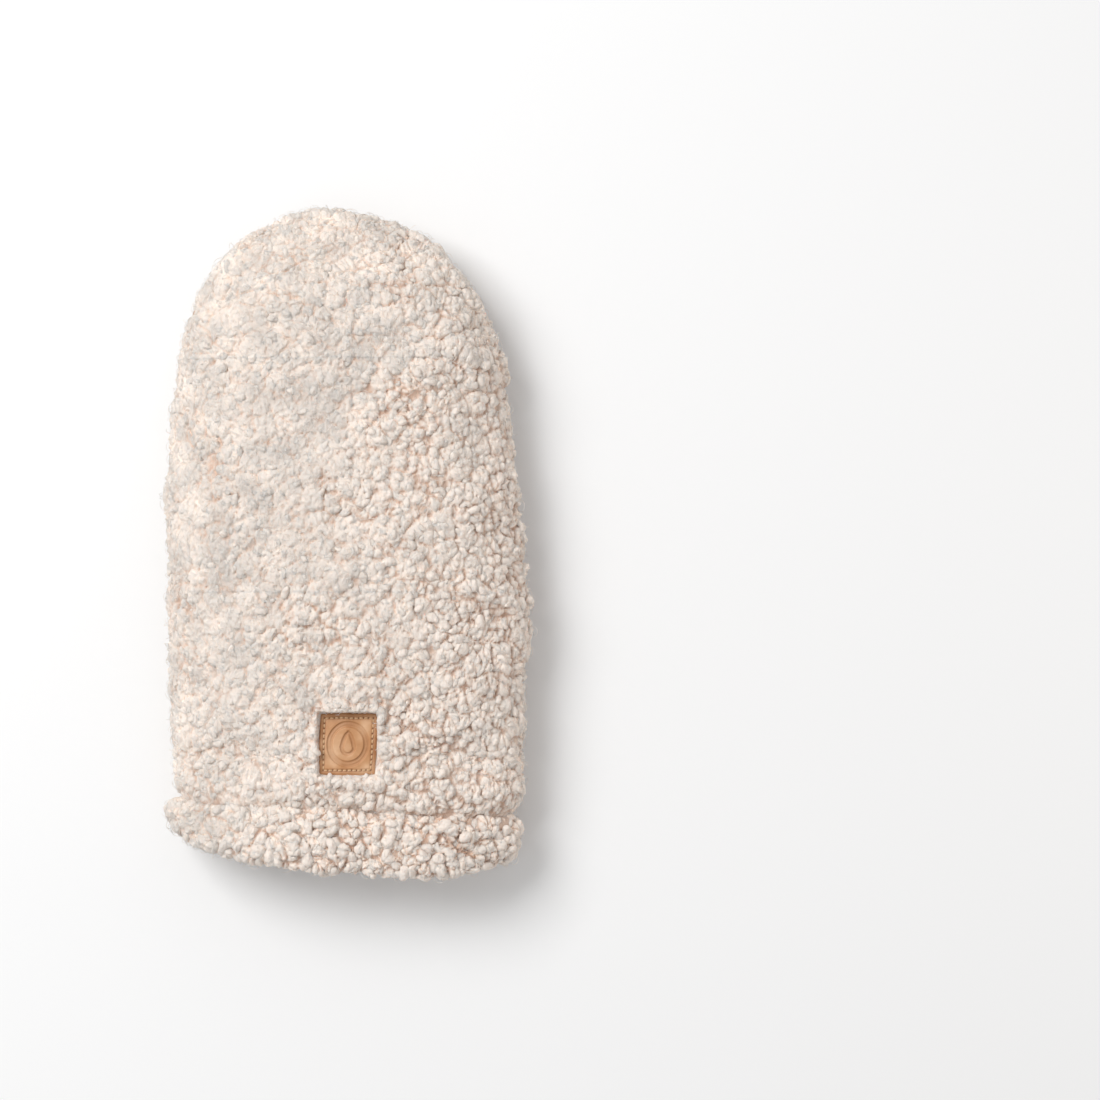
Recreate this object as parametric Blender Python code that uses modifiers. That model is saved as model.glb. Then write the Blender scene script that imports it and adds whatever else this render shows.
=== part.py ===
"""Wash mitt: a thumbless hand pocket of curly pile fabric, padded and lined, with a
plump cuff round its mouth and a stitched leather patch on its front.

Metres, +Z up. The mitt lies on its back with its fingertips towards +Y and its mouth
towards -Y. The origin is on the floor under the middle of it.

Every layer is the space between two nested envelopes. An envelope is the outer form of
the mitt drawn in by an offset, so neighbouring layers keep the same gap all round.
"""

import math

import bmesh
import bpy

# Outer form, measured over the pile.
LENGTH = 0.295
PALM_WIDTH = 0.160
SHOULDER_WIDTH = 0.152  # where the rounded fingertip end begins
WRIST_WIDTH = 0.153  # at the cuff seam
TIP_ARCH = 0.088  # length of the rounded fingertip end, seen from above
TIP_ROUND = 0.050  # length over which the tip gains its full height
SEAM_HEIGHT = 0.020  # side seams above the floor
PALM_RISE = 0.029  # crown above the side seams, at the palm
WRIST_RISE = 0.023  # the same at the cuff seam
FLOOR_PRESS = 0.0004  # how far the back would bulge below the floor that flattens it
PALM_Y = -0.010  # widest and highest place

# Roundness of the cross-section: 2 is an ellipse, and more is squarer.
FRONT_SQUARENESS = 2.3
BACK_SQUARENESS = 3.2
TIP_SQUARENESS = 2.2

# Layers, from the outside in.
GAP = 0.0003
PILE_FABRIC = 0.0060
WADDING = 0.0026
LINING = 0.0014

# Cuff: a doubled band of the pile fabric, stitched to the body.
CUFF_WIDTH = 0.0267
CUFF_PROUD = 0.0012
CUFF_SQUARENESS = 3.0
TOPSTITCH_THREAD = 0.0009

# Overlocked seams that stand between the pile fabric and the lining, one above the other.
SEAM_TO_LINING = 0.0005
SEAM_THICKNESS = 0.0011
SEAM_DEPTH = 0.0024

# Leather patch, sunk into the pile.
PATCH_SIDE = 0.027
PATCH_THICKNESS = 0.0016
PATCH_CORNER = 0.0012
PATCH_FROM_MOUTH = 0.058
PATCH_SUNK = 0.0042  # from the pile's surface down to the fabric under the patch
PATCH_THREAD = 0.0007
PATCH_THREAD_INSET = 0.0021

# Derived places.
TIP_Y = LENGTH / 2
MOUTH_Y = -LENGTH / 2
CUFF_SEAM_Y = MOUTH_Y + CUFF_WIDTH
BODY_END_Y = CUFF_SEAM_Y + GAP
SHOULDER_Y = TIP_Y - TIP_ARCH
WADDING_OFFSET = PILE_FABRIC + GAP
LINING_OFFSET = WADDING_OFFSET + WADDING + GAP
POCKET_OFFSET = LINING_OFFSET + LINING
PATCH_Y = MOUTH_Y + PATCH_FROM_MOUTH
BACK_DROP = SEAM_HEIGHT + FLOOR_PRESS

# Resolution of the faceted solids.
AROUND = 28
ALONG = 18
OVERRUN = 0.02  # how far a cutter passes the face it cuts

PILE_COLOUR = (0.85, 0.78, 0.71)
WADDING_COLOUR = (0.93, 0.93, 0.92)
LINING_COLOUR = (0.84, 0.77, 0.70)
LEATHER_COLOUR = (0.50, 0.27, 0.13)
THREAD_COLOUR = (0.74, 0.52, 0.30)
SEWING_COLOUR = (0.88, 0.83, 0.76)


def eased(share):
    """0 to 1 with a flat start and a flat end."""
    share = min(max(share, 0.0), 1.0)
    return share * share * (3 - 2 * share)


def along_body(y, at_shoulder, at_palm, at_wrist):
    """A measure that changes smoothly from the shoulder over the palm to the wrist."""
    if y > PALM_Y:
        return at_palm + (at_shoulder - at_palm) * eased((y - PALM_Y) / (SHOULDER_Y - PALM_Y))
    return at_palm + (at_wrist - at_palm) * eased((PALM_Y - y) / (PALM_Y - CUFF_SEAM_Y))


def rounded(distance, reach, squareness):
    """Share of the full size at a distance from the tip, for a tip rounded over reach."""
    if distance >= reach:
        return 1.0
    return (1 - (1 - max(distance, 0.0) / reach) ** squareness) ** (1 / squareness)


def half_width(y, offset):
    """Half the width of the envelope at y."""
    side = along_body(y, SHOULDER_WIDTH, PALM_WIDTH, WRIST_WIDTH) / 2 - offset
    return side * rounded(TIP_Y - offset - y, TIP_ARCH - offset, 2)


def section_point(y, angle, offset):
    """Where the envelope's cross-section at y is, at an angle up from the right seam."""
    lift = rounded(TIP_Y - offset - y, TIP_ROUND - offset, TIP_SQUARENESS)
    across, up = math.cos(angle), math.sin(angle)
    if up > 0:
        squareness = FRONT_SQUARENESS
        reach = along_body(y, PALM_RISE, PALM_RISE, WRIST_RISE) - offset
    else:
        squareness = BACK_SQUARENESS
        reach = BACK_DROP - offset
    power = 2 / squareness
    x = half_width(y, offset) * math.copysign(abs(across) ** power, across)
    z = SEAM_HEIGHT + reach * lift * math.copysign(abs(up) ** power, up)
    return x, y, max(z, offset, 0.0)


def material(name, colour, roughness):
    """A plain finish for one kind of cloth, leather or thread."""
    made = bpy.data.materials.new(name)
    made.use_nodes = True
    shader = made.node_tree.nodes["Principled BSDF"]
    shader.inputs["Base Color"].default_value = (*colour, 1)
    shader.inputs["Roughness"].default_value = roughness
    return made


def add_object(name, mesh, collection, finish=None):
    """An object that holds the mesh, in one of the collections."""
    made = bpy.data.objects.new(name, mesh)
    collection.objects.link(made)
    if finish is not None:
        mesh.materials.append(finish)
    return made


def as_helper(made):
    """Hides a cutter from the render and shows it as wire."""
    made.hide_render = True
    made.display_type = "WIRE"
    return made


def envelope_mesh(name, offset, overrun=0.0):
    """A sphere blown out to the body's form, drawn in by offset, with a flat open end.

    An overrun carries the open end straight on, past the face that the envelope cuts.
    """
    form = bmesh.new()
    rings = ALONG + 1 if overrun else ALONG
    bmesh.ops.create_uvsphere(form, u_segments=AROUND, v_segments=rings, radius=1)
    reach = TIP_Y - offset - BODY_END_Y
    for vertex in form.verts:
        ring = round(math.acos(max(-1.0, min(1.0, vertex.co.z))) / math.pi * rings)
        if ring == rings:
            vertex.co = (0, BODY_END_Y - overrun, SEAM_HEIGHT)
            continue
        share = min(ring, ALONG - 1) / (ALONG - 1)
        y = BODY_END_Y + reach * math.cos(share * math.pi / 2)
        x, y, z = section_point(y, math.atan2(vertex.co.y, vertex.co.x), offset)
        if ring == ALONG:
            y -= overrun
        vertex.co = (x, y, z)
    bmesh.ops.recalc_face_normals(form, faces=form.faces)
    mesh = bpy.data.meshes.new(name)
    form.to_mesh(mesh)
    form.free()
    return mesh


def box(name, low, high, collection):
    """A cutter that fills the space between two corners."""
    form = bmesh.new()
    bmesh.ops.create_cube(form, size=1)
    for vertex in form.verts:
        vertex.co = [a + (b - a) * (c + 0.5) for a, b, c in zip(low, high, vertex.co)]
    mesh = bpy.data.meshes.new(name)
    form.to_mesh(mesh)
    form.free()
    return as_helper(add_object(name, mesh, collection))


def cut(target, cutter):
    """Takes the cutter out of the target."""
    boolean = target.modifiers.new("cut_" + cutter.name, "BOOLEAN")
    boolean.operation = "DIFFERENCE"
    boolean.solver = "EXACT"
    boolean.object = cutter


def half_spaces(prefix, clearance, cutters):
    """Cutters that keep the front and the back, each clearance away from the side seam."""
    far = PALM_WIDTH
    low_side = box(
        prefix + "_below_seam",
        (-far, MOUTH_Y - far, -far),
        (far, TIP_Y + far, SEAM_HEIGHT + clearance),
        cutters,
    )
    high_side = box(
        prefix + "_above_seam",
        (-far, MOUTH_Y - far, SEAM_HEIGHT - clearance),
        (far, TIP_Y + far, far),
        cutters,
    )
    return {"front": low_side, "back": high_side}


def add_layer(node, offset, thickness, seam_clearance, finish, parts, cutters):
    """Front and back panels of one layer, open towards the mouth."""
    inner = envelope_mesh(node + "_hollow", offset + thickness, OVERRUN)
    hollow = as_helper(add_object(node + "_hollow", inner, cutters))
    panels = {}
    for side, away in half_spaces(node, seam_clearance, cutters).items():
        mesh = envelope_mesh(side, offset)
        panel = add_object(f"{side}_{node}", mesh, parts, finish)
        cut(panel, hollow)
        cut(panel, away)
        panels[side] = panel
    return panels


def ring_mesh(name, centre_y, centre_offset, half_along, half_thick, squareness, minor):
    """A torus laid round the mitt's mouth, with its own rounded section."""
    bpy.ops.mesh.primitive_torus_add(
        major_segments=AROUND,
        minor_segments=minor,
        major_radius=1,
        minor_radius=0.25,
    )
    torus = bpy.context.object
    mesh = torus.data
    bpy.data.objects.remove(torus)
    mesh.name = name
    power = 2 / squareness
    for vertex in mesh.vertices:
        from_axis = math.hypot(vertex.co.x, vertex.co.y) - 1
        turn = math.atan2(vertex.co.z, from_axis)
        out, along = math.cos(turn), math.sin(turn)
        offset = centre_offset - half_thick * math.copysign(abs(out) ** power, out)
        y = centre_y + half_along * math.copysign(abs(along) ** power, along)
        angle = math.atan2(vertex.co.y, vertex.co.x)
        x, _, z = section_point(centre_y, angle, offset)
        vertex.co = (x, y, z)
    form = bmesh.new()
    form.from_mesh(mesh)
    bmesh.ops.recalc_face_normals(form, faces=form.faces)
    form.to_mesh(mesh)
    form.free()
    return mesh


def add_cuff(finish, parts, cutters):
    """Front and back halves of the cuff, which meet at the side seams."""
    outer, inner = -CUFF_PROUD, POCKET_OFFSET
    for side, away in half_spaces("cuff", GAP / 2, cutters).items():
        mesh = ring_mesh(
            side,
            (MOUTH_Y + CUFF_SEAM_Y) / 2,
            (outer + inner) / 2,
            CUFF_WIDTH / 2,
            (inner - outer) / 2,
            CUFF_SQUARENESS,
            minor=16,
        )
        cut(add_object("cuff_" + side, mesh, parts, finish), away)


def add_topstitch(finish, parts):
    """The thread that runs round the mitt in the groove between body and cuff."""
    radius = TOPSTITCH_THREAD / 2
    mesh = ring_mesh("cuff_topstitch", BODY_END_Y - GAP - radius, radius, radius, radius, 2, minor=6)
    add_object("cuff_topstitch", mesh, parts, finish)


def outline(offset, end_y, steps=36):
    """The envelope's plan from the right mouth corner round the tip to the left one."""
    tip_y = TIP_Y - offset
    right = []
    for step in range(steps):
        y = end_y + (tip_y - end_y) * math.sin(step / steps * math.pi / 2)
        right.append((half_width(y, offset), y))
    return right + [(0.0, tip_y)] + [(-x, y) for x, y in reversed(right)]


def add_overlock(name, middle_z, finish, parts):
    """The overlocked seam of one bag: a strip on edge that follows the plan round the tip."""
    inner = LINING_OFFSET - SEAM_TO_LINING
    end_y = BODY_END_Y + GAP
    plan = outline(inner - SEAM_THICKNESS, end_y) + list(reversed(outline(inner, end_y)))
    curve = bpy.data.curves.new(name, "CURVE")
    curve.dimensions = "2D"
    curve.fill_mode = "BOTH"
    curve.extrude = SEAM_DEPTH / 2
    spline = curve.splines.new("POLY")
    spline.points.add(len(plan) - 1)
    for point, (x, y) in zip(spline.points, plan):
        point.co = (x, y, 0, 1)
    spline.use_cyclic_u = True
    strip = add_object(name, curve, parts, finish)
    strip.location.z = middle_z


def patch_fabric_z():
    """Height of the fabric that the patch is sewn to."""
    return section_point(PATCH_Y, math.pi / 2, 0.0)[2] - PATCH_SUNK


def thread_loop(name, radius, collection, finish):
    """A closed square loop of round thread, laid on the patch's face."""
    reach = PATCH_SIDE / 2 - PATCH_THREAD_INSET
    curve = bpy.data.curves.new(name, "CURVE")
    curve.dimensions = "3D"
    curve.bevel_depth = radius
    curve.bevel_resolution = 2
    spline = curve.splines.new("POLY")
    corners = ((1, 1), (-1, 1), (-1, -1), (1, -1))
    spline.points.add(len(corners) - 1)
    for point, (x, y) in zip(spline.points, corners):
        point.co = (x * reach, y * reach, 0, 1)
    spline.use_cyclic_u = True
    loop = add_object(name, curve, collection, finish)
    loop.location = (0, PATCH_Y, patch_fabric_z() + GAP + PATCH_THICKNESS)
    return loop


def add_patch(front_panel, leather, thread, parts, cutters):
    """The leather patch, its recess in the pile, and the thread that edges it."""
    seat_half = PATCH_SIDE / 2 + GAP
    seat = box(
        "patch_seat",
        (-seat_half, PATCH_Y - seat_half, patch_fabric_z()),
        (seat_half, PATCH_Y + seat_half, patch_fabric_z() + OVERRUN),
        cutters,
    )
    cut(front_panel, seat)

    bpy.ops.mesh.primitive_cube_add(size=1)
    patch = bpy.context.object
    patch.name = "leather_patch"
    patch.location = (0, PATCH_Y, patch_fabric_z() + GAP + PATCH_THICKNESS / 2)
    patch.scale = (PATCH_SIDE, PATCH_SIDE, PATCH_THICKNESS)
    bpy.ops.object.transform_apply(location=False, rotation=False, scale=True)
    patch.data.materials.append(leather)
    for old in patch.users_collection:
        old.objects.unlink(patch)
    parts.objects.link(patch)
    corners = patch.modifiers.new("rounded_corners", "BEVEL")
    corners.limit_method = "WEIGHT"
    corners.width = PATCH_CORNER
    corners.segments = 3
    weights = patch.data.attributes.new("bevel_weight_edge", "FLOAT", "EDGE")
    for edge, weight in zip(patch.data.edges, weights.data):
        low, high = (patch.data.vertices[i].co for i in edge.vertices)
        weight.value = float(abs(low.z - high.z) > PATCH_THICKNESS / 2)

    groove = thread_loop("thread_groove", PATCH_THREAD / 2 + GAP, cutters, None)
    groove_mesh = bpy.data.meshes.new_from_object(
        groove.evaluated_get(bpy.context.evaluated_depsgraph_get())
    )
    groove_cutter = as_helper(add_object("thread_groove_cutter", groove_mesh, cutters))
    groove_cutter.matrix_world = groove.matrix_world
    bpy.data.objects.remove(groove)
    cut(patch, groove_cutter)
    thread_loop("patch_thread", PATCH_THREAD / 2, parts, thread)


def smooth_rounded(parts):
    """Shades every mesh smooth except where it really has an edge."""
    for made in parts.objects:
        if made.type == "MESH":
            made.data.shade_smooth()
            made.data.set_sharp_from_angle(angle=math.radians(40))


def main():
    for old in list(bpy.data.objects):
        bpy.data.objects.remove(old)
    parts = bpy.data.collections.new("wash_mitt")
    cutters = bpy.data.collections.new("cutters")
    for collection in (parts, cutters):
        bpy.context.scene.collection.children.link(collection)

    pile = material("curly_pile", PILE_COLOUR, 0.95)
    wadding = material("wadding", WADDING_COLOUR, 0.95)
    lining = material("brushed_lining", LINING_COLOUR, 0.9)
    leather = material("tan_leather", LEATHER_COLOUR, 0.45)
    patch_thread = material("gold_thread", THREAD_COLOUR, 0.6)
    sewing_thread = material("sewing_thread", SEWING_COLOUR, 0.7)

    wadding_clearance = SEAM_DEPTH + 2 * GAP
    shell = add_layer("pile_panel", 0.0, PILE_FABRIC, GAP / 2, pile, parts, cutters)
    add_layer("wadding", WADDING_OFFSET, WADDING, wadding_clearance, wadding, parts, cutters)
    add_layer("lining", LINING_OFFSET, LINING, GAP / 2, lining, parts, cutters)
    add_cuff(pile, parts, cutters)
    add_topstitch(sewing_thread, parts)
    half = (SEAM_DEPTH + GAP) / 2
    add_overlock("shell_seam", SEAM_HEIGHT - half, sewing_thread, parts)
    add_overlock("lining_seam", SEAM_HEIGHT + half, sewing_thread, parts)
    add_patch(shell["front"], leather, patch_thread, parts, cutters)
    smooth_rounded(parts)


main()
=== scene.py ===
"""Wash mitt: its visible pieces, their materials, the floor, the lights and the camera.

Metres, +Z up. The mitt lies on its back with its fingertips towards +Y. Everything is
placed from the CAD nodes, so a new size of the part carries through to the looks.
"""

import math
import random

import bmesh
import bpy
import numpy as np
from mathutils import Matrix, Vector, noise
from mathutils.bvhtree import BVHTree


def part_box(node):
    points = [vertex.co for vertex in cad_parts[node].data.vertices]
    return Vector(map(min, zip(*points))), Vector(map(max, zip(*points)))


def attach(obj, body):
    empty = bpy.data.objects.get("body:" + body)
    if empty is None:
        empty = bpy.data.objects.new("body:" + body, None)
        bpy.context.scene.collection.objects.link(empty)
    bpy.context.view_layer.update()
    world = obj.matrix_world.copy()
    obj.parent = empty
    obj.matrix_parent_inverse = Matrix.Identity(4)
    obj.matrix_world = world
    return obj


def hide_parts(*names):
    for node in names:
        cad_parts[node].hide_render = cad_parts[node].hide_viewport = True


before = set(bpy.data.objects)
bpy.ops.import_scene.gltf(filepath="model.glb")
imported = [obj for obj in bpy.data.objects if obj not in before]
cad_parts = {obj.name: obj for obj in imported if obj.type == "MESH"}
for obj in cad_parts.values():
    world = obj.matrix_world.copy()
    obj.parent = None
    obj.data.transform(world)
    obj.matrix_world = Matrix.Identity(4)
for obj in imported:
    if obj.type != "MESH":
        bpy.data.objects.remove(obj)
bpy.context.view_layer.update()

MM = 0.001

# Backing cloth that carries the curls.
CLOTH_BELOW_PILE = 3.0 * MM
CLOTH_THICKNESS = 1.5 * MM
CLOTH_TUCK = 1.1 * MM
CLOTH_AROUND = 96
CLOTH_ALONG = 64
CLOTH_SLACK = 0.03  # extra cloth that the filling pushes into soft hills
CLOTH_PRESSURE = 4.0
CLOTH_FRAMES = 20
CLOTH_MOVE_CAP = 2.5 * MM
GROOVE_DEPTH = 2.6 * MM
GROOVE_TUCK = 3.0 * MM  # the body's edge goes on under the cuff
GROOVE_REACH = 6.0 * MM
CUFF_SLANT = 0.058  # the cuff's right end lies further out than its left

# Pile: a continuous lumpy surface, with single curls that stand out of it.
PILE_LIFT = 2.3 * MM  # from the backing cloth up to the middle of the lumps
TUFT_SIZE = 9.2 * MM
LUMP_SIZE = 4.7 * MM
NUB_SIZE = 2.7 * MM
TUFT_RELIEF = 2.1 * MM
LUMP_RELIEF = 1.6 * MM
NUB_RELIEF = 0.65 * MM
SWELL_RELIEF = 1.5 * MM
PILE_LEVELS = 3
CUFF_BOOST = 1.22

CURL_LENGTH = (3.8 * MM, 6.8 * MM)
CURL_THICKNESS = (2.8 * MM, 3.9 * MM)
CURL_SHAPES = 24
CURL_EMBED = 1.15 * MM
# Painted shade: the tan at a curl's root fades over this height to the tone at its top.
CURL_SHADE_REACH = 3.0 * MM  # over which the colour changes from root to top
STRAND_LENGTH = (4.5 * MM, 8.0 * MM)
STRAND_THICKNESS = 0.24 * MM
STRAND_SINK = -0.3 * MM

# Patch.
PATCH_GRID = 120
PATCH_NARROW = 0.925
PATCH_UNDER = 1.4 * MM
LINING_FLARE = 2.6 * MM
RING_RADII = (9.3 * MM, 8.1 * MM)
RING_WIDTH = 0.75 * MM
DEBOSS_DEPTH = 0.75 * MM
STITCHES_A_SIDE = 10
STITCH_INSET = 2.1 * MM
STITCH_WIDTH = 0.62 * MM

# Pile tones follow random drift and painted light: deeper on the upper left, where the key light falls fully,
# and paler on the lower right, where the flank lies in shade.
PILE_DEEP = (0.665, 0.608, 0.56)
PILE_CREAM = (0.855, 0.772, 0.703)
PILE_PALE = (0.935, 0.835, 0.757)
# Painted shade: the warm tan that low places in the pile take, for the shade in its creases.
PAINTED_CREASE_SHADE = (0.64, 0.47, 0.375)

rng = np.random.default_rng(11)
dice = random.Random(11)

front_low, front_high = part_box("front_pile_panel")
back_low, back_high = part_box("back_pile_panel")
cuff_low, cuff_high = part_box("cuff_front")
patch_low, patch_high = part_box("leather_patch")
SEAM_Z = (front_low.z + back_high.z) / 2
SEAM_GAP = front_low.z - back_high.z + 0.3 * MM
TIP_Y = front_high.y
BODY_END_Y = front_low.y
MOUTH_Y = cuff_low.y
CUFF_SEAM_Y = cuff_high.y
GROOVE_Y = CUFF_SEAM_Y + 4.5 * MM
HALF_WIDTH = front_high.x
PATCH_CENTRE = (patch_low + patch_high) / 2 + Vector((1.4 * MM, 2.0 * MM, 0))
PATCH_HALF = (patch_high.x - patch_low.x) / 2


# ---------------------------------------------------------------- materials


def new_material(name):
    """A material with its Principled shader and its node and link lists."""
    made = bpy.data.materials.new(name)
    made.use_nodes = True
    tree = made.node_tree
    return made, tree.nodes["Principled BSDF"], tree.nodes, tree.links


def object_noise(nodes, links, scale, detail=3.0, stretch=(1, 1, 1)):
    """A noise texture on Object coordinates, stretched if asked."""
    place = nodes.new("ShaderNodeTexCoord")
    mapping = nodes.new("ShaderNodeMapping")
    mapping.inputs["Scale"].default_value = stretch
    texture = nodes.new("ShaderNodeTexNoise")
    texture.inputs["Scale"].default_value = scale
    texture.inputs["Detail"].default_value = detail
    links.new(place.outputs["Object"], mapping.inputs["Vector"])
    links.new(mapping.outputs["Vector"], texture.inputs["Vector"])
    return texture.outputs["Fac"]


def colour_between(nodes, links, factor, stops):
    """A colour ramp through the stops, driven by the factor."""
    ramp = nodes.new("ShaderNodeValToRGB")
    elements = ramp.color_ramp.elements
    while len(elements) < len(stops):
        elements.new(0.5)
    for element, (place, colour) in zip(elements, stops):
        element.position = place
        element.color = (*colour, 1)
    links.new(factor, ramp.inputs["Fac"])
    return ramp.outputs["Color"]


def mixed(nodes, links, factor, first, second):
    """Mix of two colours, each a socket or three numbers."""
    mix = nodes.new("ShaderNodeMix")
    mix.data_type = "RGBA"
    for socket, value in ((mix.inputs[0], factor), (mix.inputs[6], first), (mix.inputs[7], second)):
        if isinstance(value, bpy.types.NodeSocket):
            links.new(value, socket)
        elif isinstance(value, tuple):
            socket.default_value = (*value, 1)
        else:
            socket.default_value = value
    return mix.outputs[2]


def add_bump(shader, nodes, links, height, strength, distance):
    """Small relief on the shader's normal."""
    bump = nodes.new("ShaderNodeBump")
    bump.inputs["Strength"].default_value = strength
    bump.inputs["Distance"].default_value = distance
    links.new(height, bump.inputs["Height"])
    links.new(bump.outputs["Normal"], shader.inputs["Normal"])


def attribute(nodes, name):
    """The value of a point attribute."""
    read = nodes.new("ShaderNodeAttribute")
    read.attribute_name = name
    return read.outputs["Fac"]


def pile_material():
    """Curled pile: cream tops, some paler and some deeper, partly at random and partly as painted light, with
    painted warm shade in the creases.
    """
    made, shader, nodes, links = new_material("curly_pile")
    tone_and_painted_light = colour_between(
        nodes,
        links,
        attribute(nodes, "tone_and_painted_light"),
        ((0.0, PILE_DEEP), (0.45, PILE_CREAM), (1.0, PILE_PALE)),
    )
    # Painted shade: low places, the creases and the lower parts of the curls, are mixed towards warm tan.
    depth = nodes.new("ShaderNodeMapRange")
    depth.interpolation_type = "SMOOTHSTEP"
    depth.inputs["From Min"].default_value = 0.0
    depth.inputs["From Max"].default_value = 0.72
    links.new(attribute(nodes, "height"), depth.inputs["Value"])
    colour = mixed(nodes, links, depth.outputs["Result"], PAINTED_CREASE_SHADE, tone_and_painted_light)
    links.new(colour, shader.inputs["Base Color"])
    shader.subsurface_method = "BURLEY"
    shader.inputs["Subsurface Weight"].default_value = 0.7
    shader.inputs["Subsurface Radius"].default_value = (1.0, 0.7, 0.52)
    shader.inputs["Subsurface Scale"].default_value = 1.6 * MM
    shader.inputs["Roughness"].default_value = 0.9
    shader.inputs["Specular IOR Level"].default_value = 0.15
    shader.inputs["Sheen Weight"].default_value = 0.25
    shader.inputs["Sheen Roughness"].default_value = 0.6
    shader.inputs["Sheen Tint"].default_value = (1.0, 0.95, 0.9, 1)
    fibres = object_noise(nodes, links, 650, 6.0, (1, 0.7, 1))
    add_bump(shader, nodes, links, fibres, 1.0, 0.0016)
    return made


def cloth_material(name, low, high, scale, bump_strength, roughness=0.92):
    """Plain soft cloth whose colour drifts a little and whose surface is finely rough."""
    made, shader, nodes, links = new_material(name)
    drift = object_noise(nodes, links, scale, 3.0)
    links.new(
        colour_between(nodes, links, drift, ((0.35, low), (0.65, high))),
        shader.inputs["Base Color"],
    )
    shader.inputs["Roughness"].default_value = roughness
    shader.inputs["Specular IOR Level"].default_value = 0.2
    shader.inputs["Sheen Weight"].default_value = 0.2
    nap = object_noise(nodes, links, 1400, 2.0)
    add_bump(shader, nodes, links, nap, bump_strength, 0.0005)
    return made


def leather_material():
    """Tan leather: paler in its middle as painted sheen, darker towards its border and in its stitch holes as
    painted shade, deeper in its pressed lines, finely grained.
    """
    made, shader, nodes, links = new_material("tan_leather")
    cloud = object_noise(nodes, links, 95, 4.0)
    base = colour_between(
        nodes,
        links,
        cloud,
        ((0.3, (0.47, 0.215, 0.085)), (0.5, (0.58, 0.30, 0.14)), (0.72, (0.74, 0.46, 0.27))),
    )
    # The darker pressed lines, and the painted shade at the border and in the stitch holes, come in through
    # this mix.
    pressed = mixed(nodes, links, attribute(nodes, "pressed"), base, (0.23, 0.09, 0.035))
    links.new(pressed, shader.inputs["Base Color"])
    shader.inputs["Roughness"].default_value = 0.42
    shader.inputs["Specular IOR Level"].default_value = 0.5
    grain = object_noise(nodes, links, 1500, 3.0)
    add_bump(shader, nodes, links, grain, 0.25, 0.0004)
    return made


def thread_material(name, low, high):
    """Twisted thread."""
    made, shader, nodes, links = new_material(name)
    twist = object_noise(nodes, links, 1800, 2.0)
    links.new(
        colour_between(nodes, links, twist, ((0.3, low), (0.7, high))),
        shader.inputs["Base Color"],
    )
    shader.inputs["Roughness"].default_value = 0.6
    add_bump(shader, nodes, links, twist, 0.4, 0.0003)
    return made


PILE = pile_material()
# The backing cloth is real, but its warm tan is painted shade: it shows in the pile's creases and stands in
# for their shade.
CREASE_SHADE_BACKING = cloth_material("pile_backing", (0.52, 0.33, 0.225), (0.62, 0.42, 0.30), 160, 0.6)
WADDING = cloth_material("wadding", (0.86, 0.86, 0.85), (0.93, 0.93, 0.92), 120, 0.8)
LINING = cloth_material("brushed_lining", (0.70, 0.60, 0.51), (0.80, 0.71, 0.62), 220, 0.8)
LEATHER = leather_material()
PATCH_THREAD = thread_material("gold_thread", (0.58, 0.37, 0.19), (0.78, 0.56, 0.34))
SEWING_THREAD = thread_material("sewing_thread", (0.76, 0.68, 0.58), (0.86, 0.79, 0.70))


# ---------------------------------------------------------------- helpers


def coordinates(mesh):
    """The mesh's vertex places as an array."""
    flat = np.empty(len(mesh.vertices) * 3)
    mesh.vertices.foreach_get("co", flat)
    return flat.reshape(-1, 3)


def set_coordinates(mesh, places):
    """Writes the vertex places back."""
    mesh.vertices.foreach_set("co", np.ascontiguousarray(places).ravel())
    mesh.update()


def to_object(form, name, finish, smooth=True):
    """Turns a bmesh into an object with one material."""
    mesh = bpy.data.meshes.new(name)
    form.to_mesh(mesh)
    form.free()
    mesh.materials.append(finish)
    if smooth:
        mesh.shade_smooth()
    made = bpy.data.objects.new(name, mesh)
    bpy.context.scene.collection.objects.link(made)
    return made


def finish_piece(piece, slot, *nodes):
    """Lets the piece ride on the mitt's body and stand for its CAD nodes."""
    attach(piece, "root")
    if nodes:
        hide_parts(*nodes)
    return piece


def add_values(mesh, name, values):
    """Stores one number for each vertex."""
    stored = mesh.attributes.new(name, "FLOAT", "POINT")
    stored.data.foreach_set("value", np.ascontiguousarray(values, dtype=np.float32))


def smooth_steps(share):
    """0 to 1 with a flat start and a flat end."""
    share = np.clip(share, 0.0, 1.0)
    return share * share * (3 - 2 * share)


def tree_of(*names):
    """One search tree over several CAD nodes."""
    places, faces = [], []
    for name in names:
        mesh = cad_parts[name].data
        start = len(places)
        places.extend(v.co.copy() for v in mesh.vertices)
        faces.extend([start + i for i in p.vertices] for p in mesh.polygons)
    return BVHTree.FromPolygons(places, faces)


def evaluated_mesh(piece):
    """A new mesh with the piece's modifiers applied."""
    depsgraph = bpy.context.evaluated_depsgraph_get()
    return bpy.data.meshes.new_from_object(piece.evaluated_get(depsgraph))


def hill(y, middle, reach):
    """1 at the middle, falling smoothly to 0 at reach on both sides."""
    return smooth_steps(1 - np.abs(y - middle) / reach)


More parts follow.
